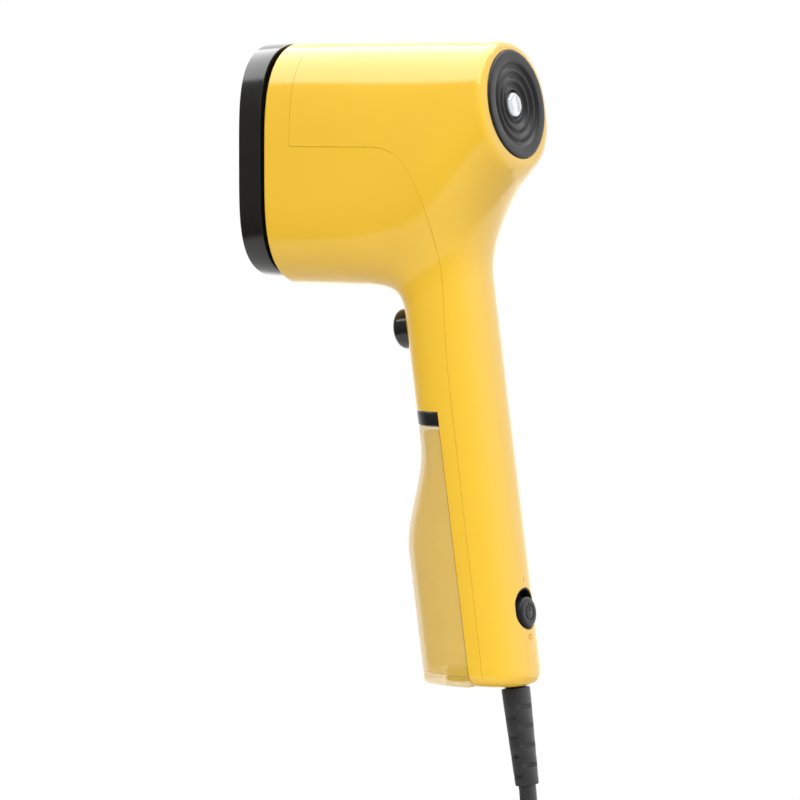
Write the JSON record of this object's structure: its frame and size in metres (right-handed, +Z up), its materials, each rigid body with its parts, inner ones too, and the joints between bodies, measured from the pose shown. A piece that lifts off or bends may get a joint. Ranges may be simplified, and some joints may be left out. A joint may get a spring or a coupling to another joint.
{
  "type": "garment steamer",
  "caption": "Handheld garment steamer: round-cornered steam head, lamp cap behind, leaning handle with trigger, clip-in water tank, slide switch and mains lead.",
  "frame": {"origin": "middle of the hand grip, inside the handle", "axes": "-X out of the steam face, +Z up along the upright steamer, Y across it"},
  "size_m": [0.124, 0.0626, 0.4757],
  "materials": {
    "yellow_casing": "gloss",
    "black_gloss": "gloss",
    "black_satin": "satin",
    "clear_lens": "clear",
    "tinted_tank": "translucent",
    "cast_aluminium": "cast",
    "plate_coating": "satin",
    "steel": "plain",
    "natural_nylon": "matt",
    "brass_fitting": "plain",
    "silicone": "matt",
    "black_rubber": "matt",
    "circuit_board": "satin",
    "switch_black": "matt",
    "wire_sleeve": "matt"
  },
  "bodies": {
    "housing": {"front_shell": "yellow_casing", "rear_shell": "yellow_casing", "steam_bezel": "black_gloss", "carrier_ring": "black_satin", "steam_plate": "plate_coating", "boiler_gasket": "silicone", "boiler": "cast_aluminium", "boiler_cover": "cast_aluminium", "heating_element": "steel", "cover_screw_1": "steel", "cover_screw_2": "steel", "cover_screw_3": "steel", "cover_screw_4": "steel", "thermostat": "steel", "thermal_fuse": "steel", "rear_cap": "black_satin", "status_lens": "clear_lens", "lamp_board": "circuit_board", "trigger_spring": "steel", "trigger_guide": "natural_nylon", "microswitch": "switch_black", "pump_body": "natural_nylon", "pump_spring": "steel", "pump_end": "brass_fitting", "pump_bracket": "steel", "pressure_tube": "silicone", "suction_tube": "silicone", "inlet_socket": "natural_nylon", "switch_well": "black_satin", "power_switch": "switch_black", "control_board": "circuit_board", "terminal_block": "natural_nylon", "cord_clamp": "natural_nylon", "clamp_screw_1": "steel", "clamp_screw_2": "steel", "housing_screw_1": "steel", "housing_screw_2": "steel", "wire_loom": "wire_sleeve", "strain_relief": "black_rubber", "power_cord": "black_rubber", "cord_hank": "black_rubber", "cord_tie": "black_satin", "cord_tail": "black_rubber", "plug_body": "black_rubber", "plug_pin_1": "brass_fitting", "plug_pin_2": "brass_fitting"},
    "trigger": {"trigger": "black_gloss"},
    "microswitch_plunger": {"switch_plunger": "natural_nylon"},
    "power_slider": {"switch_knob": "black_satin"},
    "pump_piston": {"pump_plunger": "steel"},
    "tank": {"water_tank": "tinted_tank", "tank_base": "tinted_tank", "tank_collar": "black_gloss", "latch_spring": "steel", "tank_nozzle": "natural_nylon", "dip_tube": "silicone"},
    "tank_latch": {"latch_key": "black_gloss"},
    "filler_stopper": {"filler_stopper": "silicone"}
  },
  "joints": [
    {"name": "trigger_press", "type": "slide", "parent": "housing", "child": "trigger", "axis": [0.9905, 0, 0.1374], "range_m": [0, 0.0032], "stiffness_N_per_m": 600, "springref_m": -0.001, "deforming": ["trigger_spring"]},
    {"name": "microswitch_press", "type": "slide", "parent": "housing", "child": "microswitch_plunger", "axis": [0.9905, 0, 0.1374], "range_m": [0, 0.0032]},
    {"name": "power_slide", "type": "slide", "parent": "housing", "child": "power_slider", "axis": [-0.1374, 0, 0.9905], "range_m": [0, 0.0029]},
    {"name": "pump_stroke", "type": "slide", "parent": "housing", "child": "pump_piston", "axis": [1, 0, 0], "range_m": [0, 0.003], "stiffness_N_per_m": 300, "springref_m": -0.001, "deforming": ["pump_spring"]},
    {"name": "tank_removal", "type": "slide", "parent": "housing", "child": "tank", "axis": [0.1374, 0, -0.9905], "range_m": [0, 0.036]},
    {"name": "latch_press", "type": "slide", "parent": "tank", "child": "tank_latch", "axis": [1, 0, 0], "range_m": [0, 0.002], "stiffness_N_per_m": 600, "springref_m": -0.001, "deforming": ["latch_spring"]},
    {"name": "stopper_pull", "type": "slide", "parent": "tank", "child": "filler_stopper", "axis": [0, 0, -1], "range_m": [0, 0.012]}
  ],
  "couplings": [
    {"joint": "microswitch_press", "follows": "trigger_press", "ratio": 1}
  ]
}
